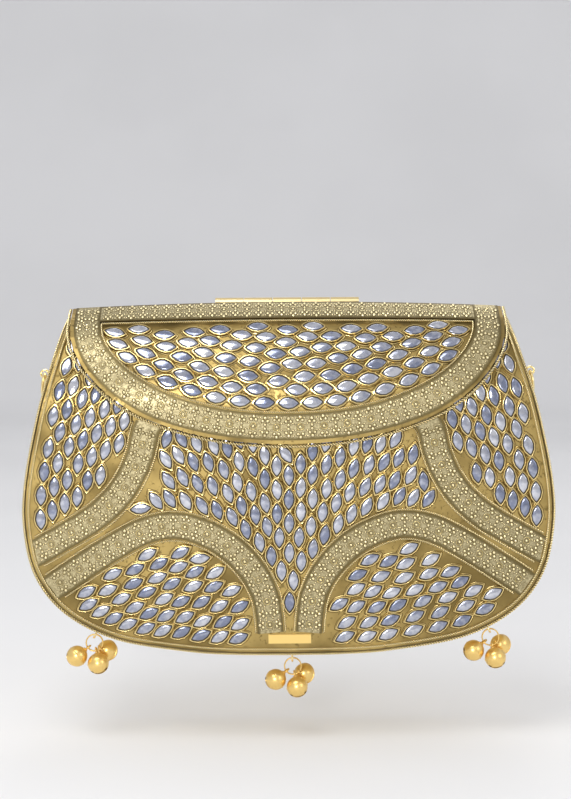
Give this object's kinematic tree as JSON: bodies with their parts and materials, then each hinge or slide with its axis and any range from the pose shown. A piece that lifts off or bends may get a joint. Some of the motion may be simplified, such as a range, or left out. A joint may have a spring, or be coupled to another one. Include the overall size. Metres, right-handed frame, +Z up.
{
  "type": "chain clutch bag",
  "caption": "Hard brass clutch bag with a domed flap on a top hinge, almond mirror stones, embossed strips, twisted wire edging and small round bells under the bottom.",
  "frame": {"origin": "midpoint between the pivots of the two chain rings, where the chain carries the bag", "axes": "+X to the bag's own left, which is the right in the picture, -Y out of the front, +Z up"},
  "size_m": [0.2144, 0.0499, 0.1625],
  "materials": {
    "brass": "polished, olive-brown in its hollows",
    "pale_brass": "pale champagne, embossed",
    "bell_gold": "warm yellow gilding, satin",
    "steel": "plain",
    "velvet": "short dark brown pile",
    "mirror_stone": "almond mirror glass, white to pale blue, in the front panel and the flap"
  },
  "bodies": {
    "bag": {"front_panel": "brass", "bottom_plate": "brass", "side_band": "brass", "back_panel": "brass", "hinge_rail": "brass", "front_edge_rope": "brass", "front_inner_rope": "brass", "back_edge_rope": "brass", "chain_lug_left": "brass", "chain_lug_right": "brass", "body_hinge_leaf": "brass", "bell_lug_left": "brass", "bell_lug_middle": "brass", "bell_lug_right": "brass", "arch_wire_outer_left": "brass", "arch_wire_inner_left": "brass", "arch_wire_outer_right": "brass", "arch_wire_inner_right": "brass", "shoulder_wire_outer_left": "brass", "shoulder_wire_inner_left": "brass", "shoulder_wire_outer_right": "brass", "shoulder_wire_inner_right": "brass", "arch_strip_left": "pale_brass", "arch_strip_right": "pale_brass", "shoulder_strip_left": "pale_brass", "shoulder_strip_right": "pale_brass", "hinge_pin": "steel", "magnet_socket": "steel", "body_lining": "velvet"},
    "flap": {"flap_shell": "brass", "flap_band": "pale_brass", "flap_edge_rope": "brass", "flap_inner_rope": "brass", "flap_lining": "velvet", "flap_hinge_leaf": "brass", "magnet_stud": "steel"},
    "left_chain_ring": {"chain_ring_left": "brass"},
    "right_chain_ring": {"chain_ring_right": "brass"},
    "left_bell_ring": {"bell_ring_left": "bell_gold"},
    "left_bell_1": {"bell_left_1": "bell_gold", "pellet_left_1": "steel"},
    "left_bell_2": {"bell_left_2": "bell_gold", "pellet_left_2": "steel"},
    "left_bell_3": {"bell_left_3": "bell_gold", "pellet_left_3": "steel"},
    "middle_bell_ring": {"bell_ring_middle": "bell_gold"},
    "middle_bell_1": {"bell_middle_1": "bell_gold", "pellet_middle_1": "steel"},
    "middle_bell_2": {"bell_middle_2": "bell_gold", "pellet_middle_2": "steel"},
    "middle_bell_3": {"bell_middle_3": "bell_gold", "pellet_middle_3": "steel"},
    "right_bell_ring": {"bell_ring_right": "bell_gold"},
    "right_bell_1": {"bell_right_1": "bell_gold", "pellet_right_1": "steel"},
    "right_bell_2": {"bell_right_2": "bell_gold", "pellet_right_2": "steel"},
    "right_bell_3": {"bell_right_3": "bell_gold", "pellet_right_3": "steel"}
  },
  "joints": [
    {"name": "flap_hinge", "type": "hinge", "parent": "bag", "child": "flap", "pos_m": [0, 0.00927, 0.02886], "axis": [-1, 0, 0], "range_deg": [0, 150]},
    {"name": "left_chain_ring_swing", "type": "hinge", "parent": "bag", "child": "left_chain_ring", "pos_m": [-0.09932, 0, 0], "axis": [0, 1, 0], "range_deg": [0, 120]},
    {"name": "right_chain_ring_swing", "type": "hinge", "parent": "bag", "child": "right_chain_ring", "pos_m": [0.09932, 0, 0], "axis": [0, -1, 0], "range_deg": [0, 120]},
    {"name": "left_bell_ring_swing", "type": "hinge", "parent": "bag", "child": "left_bell_ring", "pos_m": [-0.07991, -0.00889, -0.10745], "axis": [0, 1, 0], "range_deg": [-15, 15]},
    {"name": "left_bell_1_swing", "type": "hinge", "parent": "left_bell_ring", "child": "left_bell_1", "pos_m": [-0.08244, -0.00889, -0.11158], "axis": [-0.5864, 0, 0.81], "range_deg": [-14, 0]},
    {"name": "left_bell_2_swing", "type": "hinge", "parent": "left_bell_ring", "child": "left_bell_2", "pos_m": [-0.07898, -0.00889, -0.11291], "axis": [-0.9785, 0, -0.2062], "range_deg": [0, 45]},
    {"name": "left_bell_3_swing", "type": "hinge", "parent": "left_bell_ring", "child": "left_bell_3", "pos_m": [-0.07716, -0.00889, -0.11187], "axis": [0.6704, 0, 0.742], "range_deg": [0, 18]},
    {"name": "middle_bell_ring_swing", "type": "hinge", "parent": "bag", "child": "middle_bell_ring", "pos_m": [0.00103, -0.00889, -0.11777], "axis": [0, 1, 0], "range_deg": [-15, 15]},
    {"name": "middle_bell_1_swing", "type": "hinge", "parent": "middle_bell_ring", "child": "middle_bell_1", "pos_m": [-0.0015, -0.00889, -0.1219], "axis": [-0.5864, 0, 0.81], "range_deg": [-14, 0]},
    {"name": "middle_bell_2_swing", "type": "hinge", "parent": "middle_bell_ring", "child": "middle_bell_2", "pos_m": [0.00195, -0.00889, -0.12323], "axis": [-0.9785, 0, -0.2062], "range_deg": [0, 45]},
    {"name": "middle_bell_3_swing", "type": "hinge", "parent": "middle_bell_ring", "child": "middle_bell_3", "pos_m": [0.00377, -0.00889, -0.12219], "axis": [0.6704, 0, 0.742], "range_deg": [0, 18]},
    {"name": "right_bell_ring_swing", "type": "hinge", "parent": "bag", "child": "right_bell_ring", "pos_m": [0.08191, -0.00889, -0.1064], "axis": [0, 1, 0], "range_deg": [-15, 15]},
    {"name": "right_bell_1_swing", "type": "hinge", "parent": "right_bell_ring", "child": "right_bell_1", "pos_m": [0.07937, -0.00889, -0.11053], "axis": [-0.5864, 0, 0.81], "range_deg": [-14, 0]},
    {"name": "right_bell_2_swing", "type": "hinge", "parent": "right_bell_ring", "child": "right_bell_2", "pos_m": [0.08283, -0.00889, -0.11186], "axis": [-0.9785, 0, -0.2062], "range_deg": [0, 45]},
    {"name": "right_bell_3_swing", "type": "hinge", "parent": "right_bell_ring", "child": "right_bell_3", "pos_m": [0.08465, -0.00889, -0.11082], "axis": [0.6704, 0, 0.742], "range_deg": [0, 18]}
  ]
}
